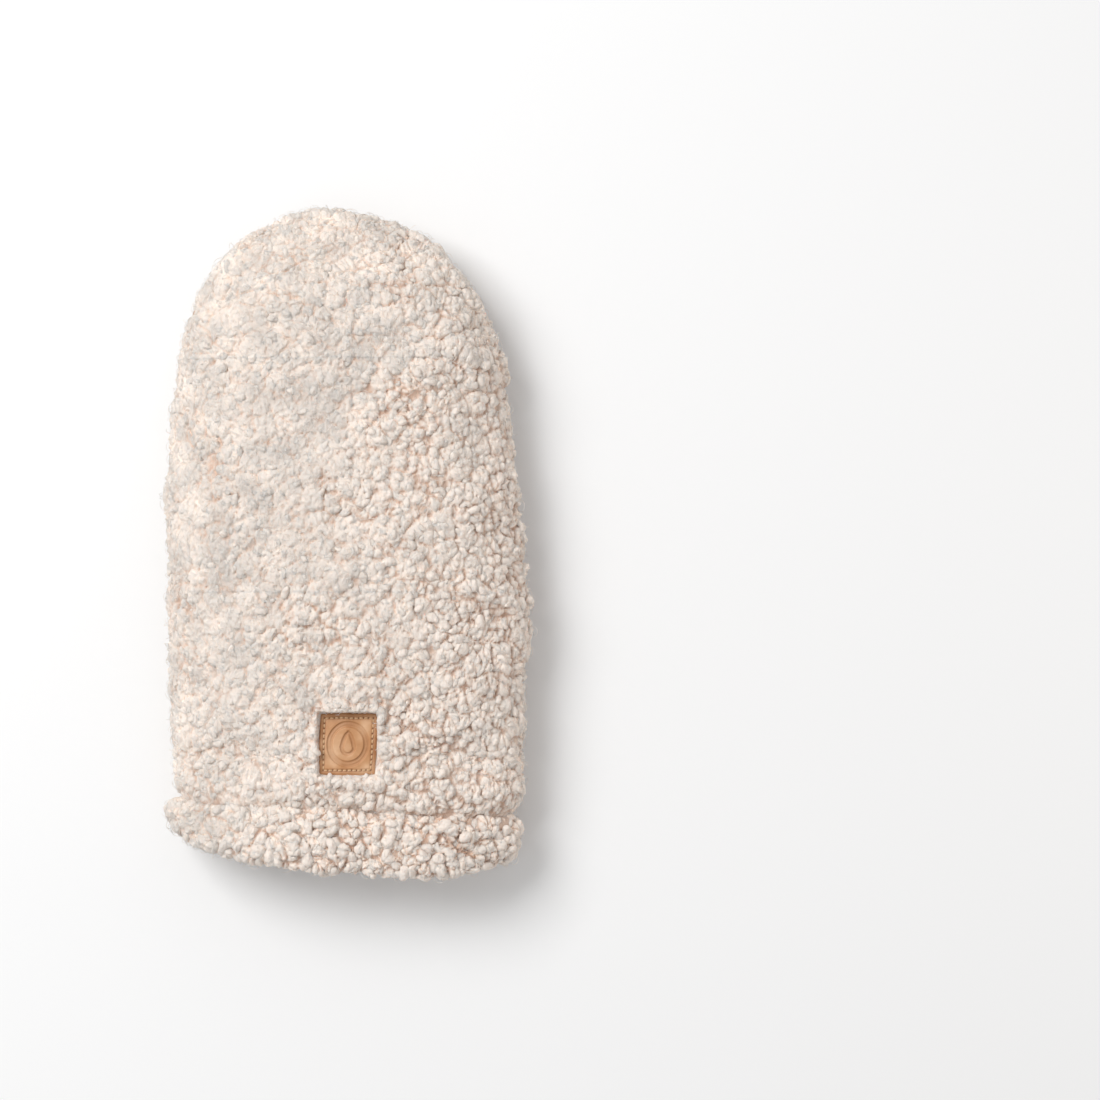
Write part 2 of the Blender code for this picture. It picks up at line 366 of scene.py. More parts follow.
def as_it_lies(places):
    """The mitt lies a little askew, as a soft thing does: no side is quite like the other."""
    moved = places.copy()
    x, y = places[:, 0], places[:, 1]
    across = x / HALF_WIDTH
    right, left = np.clip(across, 0, 1), np.clip(-across, 0, 1)
    # The left shoulder reaches further than the right.
    tip = smooth_steps((y - 0.2 * TIP_Y) / (0.8 * TIP_Y))
    moved[:, 1] -= 0.055 * x * tip
    moved[:, 0] -= 2.0 * MM * tip
    # The sides bulge and draw in.
    moved[:, 0] += right * (4.5 * MM * hill(y, -0.038, 0.040) + 3.6 * MM * hill(y, -0.095, 0.050))
    moved[:, 0] -= right * 1.8 * MM * hill(y, 0.070, 0.065)
    moved[:, 0] -= left * 3.2 * MM * hill(y, 0.032, 0.035)
    moved[:, 0] -= 1.2 * MM
    # The groove lies further up than the seam does when the mitt is pulled straight.
    moved[:, 1] += 4.5 * MM * hill(y, CUFF_SEAM_Y, 0.042)
    # The cuff sits at a slant, and its corners are round.
    mouth = smooth_steps((BODY_END_Y + 0.045 - y) / 0.06)
    moved[:, 1] -= CUFF_SLANT * x * mouth
    below = np.clip((CUFF_SEAM_Y - y) / (CUFF_SEAM_Y - MOUTH_Y), 0, 1)
    corner = 11.5 * MM * np.abs(across) ** 3.5 + 5.0 * MM * left**2
    moved[:, 1] += below * (corner + 2.6 * MM)
    moved[:, 0] -= left * 2.5 * MM * hill(y, CUFF_SEAM_Y - 0.010, 0.016)
    return moved


# ---------------------------------------------------------------- backing cloth


def over_seat(x, y):
    """True over the seat that the CAD model sinks the patch into."""
    reach = PATCH_HALF + 0.4 * MM
    middle = (patch_low + patch_high) / 2
    return abs(x - middle.x) < reach and abs(y - middle.y) < reach


def turn_outward(form):
    """Points the faces of an open skin away from the mitt's middle line."""
    bmesh.ops.recalc_face_normals(form, faces=form.faces)
    outward = 0.0
    for face in form.faces:
        middle = face.calc_center_median()
        outward += face.normal.dot(Vector((middle.x, 0, middle.z - SEAM_Z))) * face.calc_area()
    if outward < 0:
        bmesh.ops.reverse_faces(form, faces=form.faces)


def cast_round(tree, y, turn, outside):
    """Where the CAD surface is at y, seen from the middle line at an angle up from the right seam."""
    height = front_high.z - SEAM_Z if math.sin(turn) > 0 else SEAM_Z
    aim = Vector((HALF_WIDTH * math.cos(turn), 0, height * math.sin(turn))).normalized()
    axis = Vector((0, y, SEAM_Z))
    beside_gap = Vector((0, 0, SEAM_GAP)) if abs(aim.z) < 0.03 else Vector()
    start = axis + beside_gap + (aim * 0.4 if outside else Vector())
    hit, normal, _, _ = tree.ray_cast(start, -aim if outside else aim)
    if hit is None:
        return axis, axis, aim
    return axis, hit - beside_gap, normal


def body_skin(name, around, along, tree, draw, outside):
    """A round skin laid on the outside or the inside of the CAD surface, open at the mouth."""
    form = bmesh.new()
    bmesh.ops.create_uvsphere(form, u_segments=around, v_segments=along + 1, radius=1)
    mouth_pole = min(form.verts, key=lambda v: v.co.z)
    bmesh.ops.delete(form, geom=[mouth_pole], context="VERTS")
    for vertex in form.verts:
        ring = round(math.acos(max(-1.0, min(1.0, vertex.co.z))) / math.pi * (along + 1))
        share = ring / along
        y = BODY_END_Y + (TIP_Y - BODY_END_Y) * math.cos(share * math.pi / 2)
        y = min(max(y, BODY_END_Y + 0.2 * MM), TIP_Y - (0.05 * MM if outside else 12 * MM))
        turn = math.atan2(vertex.co.y, vertex.co.x)
        if ring == 0:
            vertex.co = (0, TIP_Y - draw if outside else y, SEAM_Z)
            continue
        _, hit, normal = cast_round(tree, y, turn, outside)
        inward = 0.0 if outside and hit.z > SEAM_Z and over_seat(hit.x, hit.y) else draw
        vertex.co = hit - normal * inward
    for _ in range(3):
        inner = [v for v in form.verts if not v.is_boundary]
        bmesh.ops.smooth_vert(form, verts=inner, factor=0.5, use_axis_x=True, use_axis_y=True, use_axis_z=True)
    turn_outward(form)
    return to_object(form, name, CREASE_SHADE_BACKING)


def settled(piece, held, slack, pressure, cap):
    """Lets the cloth settle round its filling, and keeps the result as plain vertices."""
    before = coordinates(piece.data)
    group = piece.vertex_groups.new(name="held")
    group.add([int(i) for i in np.flatnonzero(held)], 1.0, "REPLACE")
    cloth = piece.modifiers.new("settling", "CLOTH")
    cloth.settings.quality = 5
    cloth.settings.vertex_group_mass = "held"
    cloth.settings.use_pressure = True
    cloth.settings.uniform_pressure_force = pressure
    cloth.settings.shrink_min = -slack
    cloth.settings.effector_weights.gravity = 0
    cloth.point_cache.frame_start = 1
    cloth.point_cache.frame_end = CLOTH_FRAMES
    for number in range(1, CLOTH_FRAMES + 1):
        bpy.context.scene.frame_set(number)
    after_mesh = evaluated_mesh(piece)
    after = coordinates(after_mesh)
    piece.modifiers.remove(cloth)
    bpy.context.scene.frame_set(1)
    bpy.data.meshes.remove(after_mesh)
    move = after - before
    length = np.linalg.norm(move, axis=1, keepdims=True)
    limited = cap * np.tanh(length / cap)
    set_coordinates(piece.data, before + move * limited / np.maximum(length, 1e-9))


def half_of(piece, name, front, tuck):
    """The cloth a little under the front or the back half of a skin, cut at the side seams."""
    form = bmesh.new()
    form.from_mesh(piece.data)
    form.normal_update()
    normals = [vertex.normal.copy() for vertex in form.verts]
    for vertex, normal in zip(form.verts, normals):
        vertex.co -= normal * tuck
        on_patch = max(
            abs(vertex.co.x - PATCH_CENTRE.x), abs(vertex.co.y - PATCH_CENTRE.y)
        ) < PATCH_HALF + 4 * MM
        if front and on_patch and vertex.co.z > SEAM_Z:
            vertex.co.z = min(vertex.co.z, patch_high.z - PATCH_UNDER - 0.6 * MM)
    everything = list(form.verts) + list(form.edges) + list(form.faces)
    bmesh.ops.bisect_plane(
        form,
        geom=everything,
        dist=1e-6,
        plane_co=(0, 0, SEAM_Z),
        plane_no=(0, 0, 1 if front else -1),
        clear_inner=True,
    )
    return to_object(form, name, piece.data.materials[0])


def thicken(piece, thickness, offset=-1.0):
    """Smooths the skin once more and gives it a thickness."""
    finer = piece.modifiers.new("finer", "SUBSURF")
    finer.levels = 1
    finer.render_levels = 1
    finer.boundary_smooth = "PRESERVE_CORNERS"
    wall = piece.modifiers.new("wall", "SOLIDIFY")
    wall.thickness = thickness
    wall.offset = offset


outer_tree = tree_of("front_pile_panel", "back_pile_panel")
body = body_skin("body_backing", CLOTH_AROUND, CLOTH_ALONG, outer_tree, CLOTH_BELOW_PILE, True)
places = coordinates(body.data)
at_seam = np.abs(places[:, 2] - SEAM_Z) < 0.8 * MM
at_mouth = places[:, 1] < BODY_END_Y + 8 * MM
near_patch = (
    (np.abs(places[:, 0] - PATCH_CENTRE.x) < PATCH_HALF + 3 * MM)
    & (np.abs(places[:, 1] - PATCH_CENTRE.y) < PATCH_HALF + 3 * MM)
    & (places[:, 2] > SEAM_Z)
)
settled(body, at_seam | at_mouth | near_patch, CLOTH_SLACK, CLOTH_PRESSURE, CLOTH_MOVE_CAP)

# The body narrows into the groove beside the cuff, and the floor flattens the back.
places = coordinates(body.data)
into_groove = smooth_steps((BODY_END_Y + GROOVE_REACH - places[:, 1]) / GROOVE_REACH)
axis_out = places - np.array([0, 0, SEAM_Z])
axis_out[:, 1] = 0
length = np.linalg.norm(axis_out, axis=1, keepdims=True)
depth = GROOVE_DEPTH * into_groove + 2.0 * MM * into_groove**5
places -= axis_out / np.maximum(length, 1e-6) * depth[:, None]
places[:, 1] -= GROOVE_TUCK * into_groove**5
places = as_it_lies(places)
places[:, 2] = np.maximum(places[:, 2], CLOTH_THICKNESS + 0.8 * MM)
set_coordinates(body.data, places)

front_backing = half_of(body, "front_backing_cloth", True, CLOTH_TUCK)
back_backing = half_of(body, "back_backing_cloth", False, CLOTH_TUCK)


def cuff_ring():
    """A closed ring of cloth round the mouth, with a plump rounded section."""
    tree = tree_of("cuff_front", "cuff_back")
    middle = (MOUTH_Y + CUFF_SEAM_Y) / 2
    half_along = (CUFF_SEAM_Y - MOUTH_Y) / 2 - CLOTH_BELOW_PILE * 0.55
    form = bmesh.new()
    circle = bmesh.ops.create_circle(form, segments=20, radius=0.25)
    bmesh.ops.translate(form, verts=circle["verts"], vec=(1, 0, 0))
    bmesh.ops.rotate(
        form,
        verts=circle["verts"],
        cent=(1, 0, 0),
        matrix=Matrix.Rotation(math.pi / 2, 3, "X"),
    )
    bmesh.ops.spin(
        form,
        geom=list(form.verts) + list(form.edges),
        cent=(0, 0, 0),
        axis=(0, 0, 1),
        angle=2 * math.pi,
        steps=CLOTH_AROUND,
        use_merge=True,
    )
    bmesh.ops.remove_doubles(form, verts=form.verts, dist=1e-5)
    for vertex in form.verts:
        turn = math.atan2(vertex.co.y, vertex.co.x)
        from_ring = math.hypot(vertex.co.x, vertex.co.y) - 1
        section = math.atan2(vertex.co.z, from_ring)
        axis, outer, outer_normal = cast_round(tree, middle, turn, True)
        _, inner, _ = cast_round(tree, middle, turn, False)
        aim = (outer - axis).normalized()
        slant = max(abs(outer_normal.dot(aim)), 0.6)
        far = (outer - axis).length - CLOTH_BELOW_PILE / slant
        near = (inner - axis).length + 1.8 * MM / slant
        out, along = math.cos(section), math.sin(section)
        radius = (far + near) / 2 + (far - near) / 2 * math.copysign(abs(out) ** 0.75, out)
        y = middle + half_along * math.copysign(abs(along) ** 0.75, along)
        vertex.co = axis + aim * radius + Vector((0, y - middle, 0))
    bmesh.ops.recalc_face_normals(form, faces=form.faces)
    return to_object(form, "cuff_backing_cloth", CREASE_SHADE_BACKING)


cuff_backing = cuff_ring()
places = coordinates(cuff_backing.data)
at_seam = np.abs(places[:, 2] - SEAM_Z) < 0.8 * MM
at_join = places[:, 1] > CUFF_SEAM_Y - 5 * MM
settled(cuff_backing, at_seam | at_join, CLOTH_SLACK, CLOTH_PRESSURE * 0.7, CLOTH_MOVE_CAP * 0.7)
places = as_it_lies(coordinates(cuff_backing.data))
places[:, 2] = np.maximum(places[:, 2], 2.0 * MM)
set_coordinates(cuff_backing.data, places)
cuff = cuff_backing.copy()
cuff.data = cuff_backing.data.copy()
bpy.context.scene.collection.objects.link(cuff)
finer = cuff_backing.modifiers.new("finer", "SUBSURF")
finer.levels = 1
finer.render_levels = 1

for backing in (front_backing, back_backing):
    thicken(backing, CLOTH_THICKNESS)

finish_piece(front_backing, "curly_pile", "front_pile_panel")
finish_piece(back_backing, "curly_pile", "back_pile_panel")
finish_piece(cuff_backing, "curly_pile", "cuff_front", "cuff_back")


# ---------------------------------------------------------------- curls


def worm(length, thick, sweep, arch, sides, rings, lumpiness, seed):
    """A bent worm of pile: an arch, a comma, a hook or a thin strand."""
    taper = dice.uniform(0.0, 0.3)
    radius = length / sweep
    form = bmesh.new()
    bmesh.ops.create_uvsphere(form, u_segments=sides, v_segments=rings, radius=1)
    side = Vector((0, math.cos(arch), -math.sin(arch)))
    top = Vector((0, math.sin(arch), math.cos(arch)))
    for vertex in form.verts:
        along = vertex.co.z
        fatter = max(1 - along * along, 0.02) ** -0.12
        lump = 1 + lumpiness * noise.noise(vertex.co * 2.1 + Vector((seed * 7.1, 0, 0)))
        girth = thick / 2 * fatter * lump * (1 - taper * along)
        turn = sweep * along / 2
        centre = Vector((radius * math.sin(turn), 0, 0)) + side * radius * (1 - math.cos(turn))
        outward = Vector((math.sin(turn), 0, 0)) - side * math.cos(turn)
        vertex.co = centre + outward * vertex.co.x * girth + top * vertex.co.y * girth
    middle = sum((v.co for v in form.verts), Vector()) / len(form.verts)
    for vertex in form.verts:
        vertex.co -= middle
    bmesh.ops.recalc_face_normals(form, faces=form.faces)
    mesh = bpy.data.meshes.new("worm")
    form.to_mesh(mesh)
    form.free()
    mesh.shade_smooth()
    return mesh


def curl_shape(number):
    """One soft fat curl."""
    length = dice.uniform(*CURL_LENGTH)
    thick = dice.uniform(*CURL_THICKNESS)
    sweep = dice.choice((0.7, 1.3, 1.9, 2.6, 3.2)) * dice.uniform(0.85, 1.15)
    if sweep > 2.3:
        length *= 1.25
        thick *= 0.9
    return worm(length, thick, sweep, dice.uniform(0.1, 1.35), 8, 8, 0.55, number)


def strand_shape(number):
    """One thin stray strand that stands up out of the pile and curls over."""
    length = dice.uniform(*STRAND_LENGTH)
    return worm(length, STRAND_THICKNESS, dice.uniform(1.6, 4.2), dice.uniform(0.9, 1.57), 3, 8, 0.0, number)


def kept_apart(where, gap):
    """Indexes of places that are no closer together than gap."""
    grid = {}
    kept = []
    steps = (-1, 0, 1)
    near = [(i, j, k) for i in steps for j in steps for k in steps]
    limit = gap * gap
    for index, (x, y, z) in enumerate(where.tolist()):
        cx, cy, cz = int(x // gap), int(y // gap), int(z // gap)
        clear = True
        for i, j, k in near:
            for px, py, pz in grid.get((cx + i, cy + j, cz + k), ()):
                if (px - x) ** 2 + (py - y) ** 2 + (pz - z) ** 2 < limit:
                    clear = False
                    break
            if not clear:
                break
        if clear:
            grid.setdefault((cx, cy, cz), []).append((x, y, z))
            kept.append(index)
    return kept


CURLS = [curl_shape(number) for number in range(CURL_SHAPES)]
STRANDS = [strand_shape(number) for number in range(CURL_SHAPES)]


def dome(distances):
    """A fat round lump inside each cell, with thin creases between the cells."""
    return math.sqrt(max(0.0, 1 - (distances[0] / distances[1]) ** 4))


def opened(x, y):
    """How far the pile is opened: 0 where it lies flat, upper left, and 1 at the lower right."""
    lean = 0.42 + 0.62 * x / HALF_WIDTH - 0.4 * y / TIP_Y
    lean += 0.4 * noise.noise(Vector((x * 22, y * 22, 4.0)))
    return float(smooth_steps(lean))


def pile_relief(x, y, z, boost):
    """Height of the pile above its mean at a place, and how far it is out of the creases."""
    place = Vector((x, y, z))
    warped = place + noise.noise_vector(place * 130) * 1.5 * MM + noise.noise_vector(place * 420) * 0.5 * MM
    tuft = dome(noise.voronoi(warped / TUFT_SIZE)[0])
    lump = dome(noise.voronoi(warped / LUMP_SIZE + Vector((7.3, 1.1, 2.9)))[0])
    nub = dome(noise.voronoi(warped / NUB_SIZE)[0])
    parted = float(smooth_steps(0.2 + 1.6 * noise.noise(place * 34 + Vector((3.0, 8.0, 1.0)))))
    strength = (0.72 + 0.5 * opened(x, y) + 0.42 * parted) * boost
    height = TUFT_RELIEF * (tuft - 0.8) + LUMP_RELIEF * (lump - 0.8)
    height += NUB_RELIEF * (nub - 0.8)
    height = height * strength + SWELL_RELIEF * noise.noise(place * 42)
    # How far out of the creases a place lies sets how much painted crease shade it gets.
    crease = 1 - (0.5 * tuft + 0.42 * lump + 0.08 * nub)
    out_of_crease = 1 - crease * (0.35 + 0.8 * strength) * 1.25
    return height, out_of_crease


def groove_away(where):
    """Distance up from the middle of the groove beside the cuff, which wanders a little."""
    wander = np.array([noise.noise(Vector((x * 70, 2.0, z * 30))) for x, _, z in where.tolist()])
    return where[:, 1] + CUFF_SLANT * where[:, 0] - GROOVE_Y + 1.6 * MM * wander


def patch_away(where):
    """Distance outside the patch's outline, and large on the back."""
    across = np.abs(where[:, 0] - PATCH_CENTRE.x) / PATCH_NARROW
    away = np.maximum(across, np.abs(where[:, 1] - PATCH_CENTRE.y)) - PATCH_HALF
    return np.where(where[:, 2] > SEAM_Z, away, 1.0)


def pressed_by_patch(where, depth, reach):
    """The places with those under the patch pushed down to a depth below its face."""
    under = smooth_steps((reach - patch_away(where)) / reach)
    where[:, 2] -= under * np.maximum(where[:, 2] - (patch_high.z - depth), 0.0)
    return where


def pile_surface(skin, boost):
    """The skin made fine and raised into lumps: the mesh, its base places and their normals."""
    finer = skin.modifiers.new("finer", "SUBSURF")
    finer.levels = PILE_LEVELS
    mesh = evaluated_mesh(skin)
    skin.modifiers.remove(finer)
    base = coordinates(mesh)
    flat = np.empty(len(mesh.vertices) * 3)
    mesh.vertices.foreach_get("normal", flat)
    facing = flat.reshape(-1, 3)
    relief = np.array([pile_relief(x, y, z, boost) for x, y, z in base.tolist()])
    groove = hill(groove_away(base), 0.0, 5.0 * MM)
    lift = np.maximum(PILE_LIFT + relief[:, 0] - 1.3 * MM * groove, 0.5 * MM)
    # The patch presses the pile flat.
    away = patch_away(base)
    lift += 1.1 * MM * hill(away, 2.6 * MM, 3.2 * MM)
    lift = lift * smooth_steps((away + 0.9 * MM) / (1.6 * MM))
    raised = base + facing * lift[:, None]
    raised[:, 2] = np.maximum(raised[:, 2], 0.0)
    raised = pressed_by_patch(raised, PATCH_UNDER, 0.9 * MM)
    set_coordinates(mesh, raised)
    # Painted shade: low places, the creases and the groove beside the cuff, are turned towards warm tan by the
    # material.
    add_values(mesh, "height", relief[:, 1] - 0.12 * groove)
    # Tone: a random drift, plus painted light: deeper on the upper left where the key light falls fully, paler
    # and warmer on the shaded lower right.
    drift = np.array([noise.noise(Vector(p) * 85) for p in base.tolist()])
    warm = np.array([opened(x, y) for x, y, _ in base.tolist()])
    add_values(mesh, "tone_and_painted_light", np.clip(0.22 + 0.45 * drift + 0.55 * warm, 0, 1))
    return mesh, base, raised, facing


def zone_of(mesh, name, inside):
    """The part of the pile surface whose faces lie inside a zone."""
    form = bmesh.new()
    form.from_mesh(mesh)
    middles = np.array([f.calc_center_median()[:] for f in form.faces])
    outside = ~inside(middles)
    doomed = [face for face, out in zip(form.faces, outside.tolist()) if out]
    bmesh.ops.delete(form, geom=doomed, context="FACES")
    return finish_piece(to_object(form, name, PILE), "curly_pile")


def curl_piece(name, where, facing, shapes, sink, tilt, size):
    """Single curls or strands, turned and tilted at random, sunk a little into the pile."""
    form = bmesh.new()
    heights, tones_and_painted_light = [], []
    for place, normal in zip(where, facing):
        shape = shapes[dice.randrange(CURL_SHAPES)]
        up = Vector(normal)
        lean = Vector((dice.uniform(-1, 1), dice.uniform(-1, 1), dice.uniform(-1, 1)))
        up_tilted = (up + lean * tilt).normalized()
        turn = up_tilted.to_track_quat("Z", "X") @ Matrix.Rotation(
            dice.uniform(0, 2 * math.pi), 3, "Z"
        ).to_quaternion()
        deeper = 0.6 * max(sink, 0.0) * (1 - opened(place[0], place[1]))
        sunk = Vector(place) - up * (sink + deeper + dice.uniform(-0.5, 0.5) * MM)
        matrix = Matrix.Translation(sunk) @ turn.to_matrix().to_4x4()
        matrix = matrix @ Matrix.Scale(dice.uniform(0.75, 1.15) * size, 4)
        copy = shape.copy()
        copy.transform(matrix)
        form.from_mesh(copy)
        co = coordinates(copy)
        bpy.data.meshes.remove(copy)
        # Painted shade: each curl is tan low down and turns to its tone towards its top.
        above = (co - np.array(sunk)) @ np.array(normal)
        heights.append(0.62 + above / CURL_SHADE_REACH)
        # Random tone, plus painted light: paler towards the shaded lower right.
        tone_with_painted_light = dice.uniform(0.05, 0.5) + 0.5 * opened(place[0], place[1])
        tones_and_painted_light.append(np.full(len(co), tone_with_painted_light))
    piece = to_object(form, name, PILE)
    co = coordinates(piece.data)
    co[:, 2] = np.maximum(co[:, 2], 0.0)
    set_coordinates(piece.data, co)
    add_values(piece.data, "height", np.concatenate(heights))
    add_values(piece.data, "tone_and_painted_light", np.concatenate(tones_and_painted_light))
    return finish_piece(piece, "curly_pile")


def clear_of_groove(where):
    """True away from the groove beside the cuff, which no curl fills."""
    return np.abs(groove_away(where)) > 1.9 * MM


def clear_of_patch(where):
    """True away from the patch. Edge curls may lap over it a little."""
    reach = PATCH_HALF + 0.5 * MM
    on = (np.abs(where[:, 0] - PATCH_CENTRE.x) < reach * PATCH_NARROW) & (
        np.abs(where[:, 1] - PATCH_CENTRE.y) < reach
    )
    return ~(on & (where[:, 2] > SEAM_Z))


def outside_of_cuff(where, facing):
    """True on the cuff's outer face. Its inside is worn flat, with no loose curls."""
    across = where[:, 0] / HALF_WIDTH
    up = (where[:, 2] - SEAM_Z) / (front_high.z - SEAM_Z)
    return facing[:, 0] * across + facing[:, 2] * up > -0.05


def add_pile(skin, surface_zones, curl_zones, strand_zones, keep, boost):
    """The pile surface in its zones, and the single curls and strands on each side."""
    mesh, base, raised, facing = pile_surface(skin, boost)
    for name, inside in surface_zones:
        piece = zone_of(mesh, name, inside)
        print("PILE", piece.name, len(piece.data.polygons))
    order = rng.permutation(len(base))
    for name, inside, gap in curl_zones:
        chosen = order[(inside(raised) & keep(raised, facing))[order]]
        chosen = chosen[: 60000]
        kept = chosen[kept_apart(raised[chosen], gap)]
        curl_piece(name, raised[kept], facing[kept], CURLS, CURL_EMBED, 0.35, boost)
        print("CURLS", name, len(kept))
    for name, inside, gap in strand_zones:
        chosen = order[(inside(raised) & keep(raised, facing))[order]][::-1]
        chosen = chosen[: 60000]
        kept = chosen[kept_apart(raised[chosen], gap)]
        curl_piece(name, raised[kept], facing[kept], STRANDS, STRAND_SINK, 0.7, 1.0)
        print("STRANDS", name, len(kept))
    bpy.data.meshes.remove(mesh)


FINGERS_Y = BODY_END_Y + 0.75 * (TIP_Y - BODY_END_Y)
WRIST_Y = BODY_END_Y + 0.37 * (TIP_Y - BODY_END_Y)


def front(p):
    return p[:, 2] > SEAM_Z


def back(p):
    return p[:, 2] <= SEAM_Z


def fingers(p):
    return p[:, 1] > FINGERS_Y


def palm(p):
    return (p[:, 1] <= FINGERS_Y) & (p[:, 1] > WRIST_Y)


def wrist(p):
    return p[:, 1] <= WRIST_Y


def both(first, second):
    return lambda p: first(p) & second(p)


BODY_SURFACES = [
    (f"{side.__name__}_pile_{zone.__name__}", both(side, zone))
    for side in (front, back)
    for zone in (fingers, palm, wrist)
]
add_pile(
    body,
    BODY_SURFACES,
    (("front_curls", front, 4.15 * MM), ("back_curls", back, 5.2 * MM)),
    (("front_strands", front, 3.1 * MM), ("back_strands", back, 4.6 * MM)),
    lambda p, n: clear_of_patch(p) & clear_of_groove(p),
    1.0,
)
add_pile(
    cuff,
    (("cuff_pile_front", front), ("cuff_pile_back", back)),
    (("cuff_curls_front", front, 4.6 * MM), ("cuff_curls_back", back, 5.4 * MM)),
    (("cuff_strands_front", front, 2.9 * MM), ("cuff_strands_back", back, 4.2 * MM)),
    lambda p, n: outside_of_cuff(p, n) & clear_of_groove(p),
    CUFF_BOOST,
)
bpy.data.objects.remove(body)
bpy.data.objects.remove(cuff)


def make_groove_stitches():
    """The stitches between body and cuff, deep in the groove."""
    form = bmesh.new()
    count = 132
    for number in range(count):
        turn = 2 * math.pi * (number + 0.5) / count
        _, hit, normal = cast_round(outer_tree, BODY_END_Y + 0.2 * MM, turn, True)
        if abs(hit.x) > HALF_WIDTH - 14 * MM:
            continue
        _, ahead, _ = cast_round(outer_tree, BODY_END_Y + 0.2 * MM, turn + 0.01, True)
        along = (ahead - hit).normalized()
        before = set(form.verts)
        bmesh.ops.create_uvsphere(form, u_segments=8, v_segments=6, radius=1)
        new = [v for v in form.verts if v not in before]
        side = along.cross(normal).normalized()
        for vertex in new:
            ball = vertex.co.copy()
            local = along * ball.z * 1.25 * MM + (side * ball.x + normal * ball.y) * 0.4 * MM
            vertex.co = hit - normal * 7.4 * MM + local
    bmesh.ops.recalc_face_normals(form, faces=form.faces)
    piece = to_object(form, "cuff_stitches", SEWING_THREAD)
    co = as_it_lies(coordinates(piece.data))
    co[:, 2] = np.maximum(co[:, 2], 0.5 * MM)
    set_coordinates(piece.data, co)
    finish_piece(piece, "sewing_thread", "cuff_topstitch")


make_groove_stitches()


# ---------------------------------------------------------------- patch


def drop_distance(x, y):
    """Distance outside a plain water drop that stands on its round end."""
    centre_y, radius, tip = -1.4 * MM, 2.9 * MM, 5.2 * MM
    if y <= centre_y:
        return math.hypot(x, y - centre_y) - radius
    share = min((y - centre_y) / (tip - centre_y), 1.0)
    half = radius * (1 - share) ** 0.75 * (1 + 0.35 * share)
    return (abs(x) - half) * 0.8 if y < tip else math.hypot(x, y - tip)


def line_press(distance, width):
    """How fully a drawn line presses the leather at a distance from its middle."""
    return float(1 - smooth_steps((abs(distance) - width * 0.5) / (width * 0.8)))


def stitch_places():
    """Middle, direction and number of each stitch round the patch."""
    reach = PATCH_HALF - STITCH_INSET
    pitch = 2 * reach / STITCHES_A_SIDE
    for side in range(4):
        turn = Matrix.Rotation(side * math.pi / 2, 2)
        for number in range(STITCHES_A_SIDE):
            along = -reach + pitch * (number + 0.5)
            yield turn @ Vector((along, reach)), side * math.pi / 2, pitch


HOLES = []
for middle, angle, pitch in stitch_places():
    end = Matrix.Rotation(angle, 2) @ Vector((pitch / 2, 0))
    HOLES.append(middle + end)


def patch_surface(x, y):
    """Height of the leather's face above its flat, and how dark it is: its pressed lines, with painted shade
    at the border and in the stitch holes.
    """
    from_edge = PATCH_HALF - max(abs(x), abs(y))
    height = -0.35 * MM * (1 - float(smooth_steps(from_edge / (1.3 * MM)))) ** 1.5
    from_centre = math.hypot(x, y)
    pressed = max(line_press(from_centre - radius, RING_WIDTH) for radius in RING_RADII)
    pressed = max(pressed, line_press(drop_distance(x, y), RING_WIDTH))
    stitch_line = abs(max(abs(x), abs(y)) - (PATCH_HALF - STITCH_INSET))
    groove = line_press(stitch_line, 0.9 * MM)
    hole = 0.0
    for place in HOLES:
        away = (place.x - x) ** 2 + (place.y - y) ** 2
        if away < (0.6 * MM) ** 2:
            hole = max(hole, 1 - math.sqrt(away) / (0.6 * MM))
    height -= DEBOSS_DEPTH * pressed + 0.18 * MM * groove + 0.5 * MM * hole
    height += 0.4 * MM * noise.noise(Vector((x * 70, y * 70, 3.0)))
    height -= 0.5 * MM * (from_centre / PATCH_HALF) ** 2
    # Painted sheen in the middle; the border and the stitch holes get painted shade.
    painted_sheen = float(smooth_steps(from_edge / (3.5 * MM)))
    return height, min(1.0, 0.16 * pressed + 0.2 * groove + 0.9 * hole + 0.3 * (1 - painted_sheen))


def patch_outline(x, y):
    """The patch's outline isn't quite square: cut by hand, and pulled by its stitches."""
    u, v = x / PATCH_HALF, y / PATCH_HALF
    corner = 1 - 0.03 * u**4 * v**4
    wave_x = 0.25 * MM * noise.noise(Vector((y * 160, 5.0, math.copysign(2, x)))) * abs(u)
    wave_y = 0.25 * MM * noise.noise(Vector((x * 160, 9.0, math.copysign(2, y)))) * abs(v)
    wide = PATCH_NARROW * (corner + 0.012 * v)
    return x * wide + wave_x + 0.035 * y, y * corner + wave_y


def make_patch():
    """The leather patch with its pressed ring and drop."""
    form = bmesh.new()
    bmesh.ops.create_grid(form, x_segments=PATCH_GRID, y_segments=PATCH_GRID, size=PATCH_HALF)
    pressed = []
    top = patch_high.z
    for vertex in form.verts:
        height, press = patch_surface(vertex.co.x, vertex.co.y)
        x, y = patch_outline(vertex.co.x, vertex.co.y)
        vertex.co = (PATCH_CENTRE.x + x, PATCH_CENTRE.y + y, top + height)
        pressed.append(press)
    bmesh.ops.recalc_face_normals(form, faces=form.faces)
    piece = to_object(form, "tan_patch", LEATHER)
    if piece.data.polygons[0].normal.z < 0:
        piece.data.flip_normals()
    # The darkening: pressed lines, and painted shade at the border and in the stitch holes.
    add_values(piece.data, "pressed", pressed)
    wall = piece.modifiers.new("wall", "SOLIDIFY")
    wall.thickness = 1.5 * MM
    wall.offset = -1.0
    return finish_piece(piece, "tan_leather", "leather_patch")


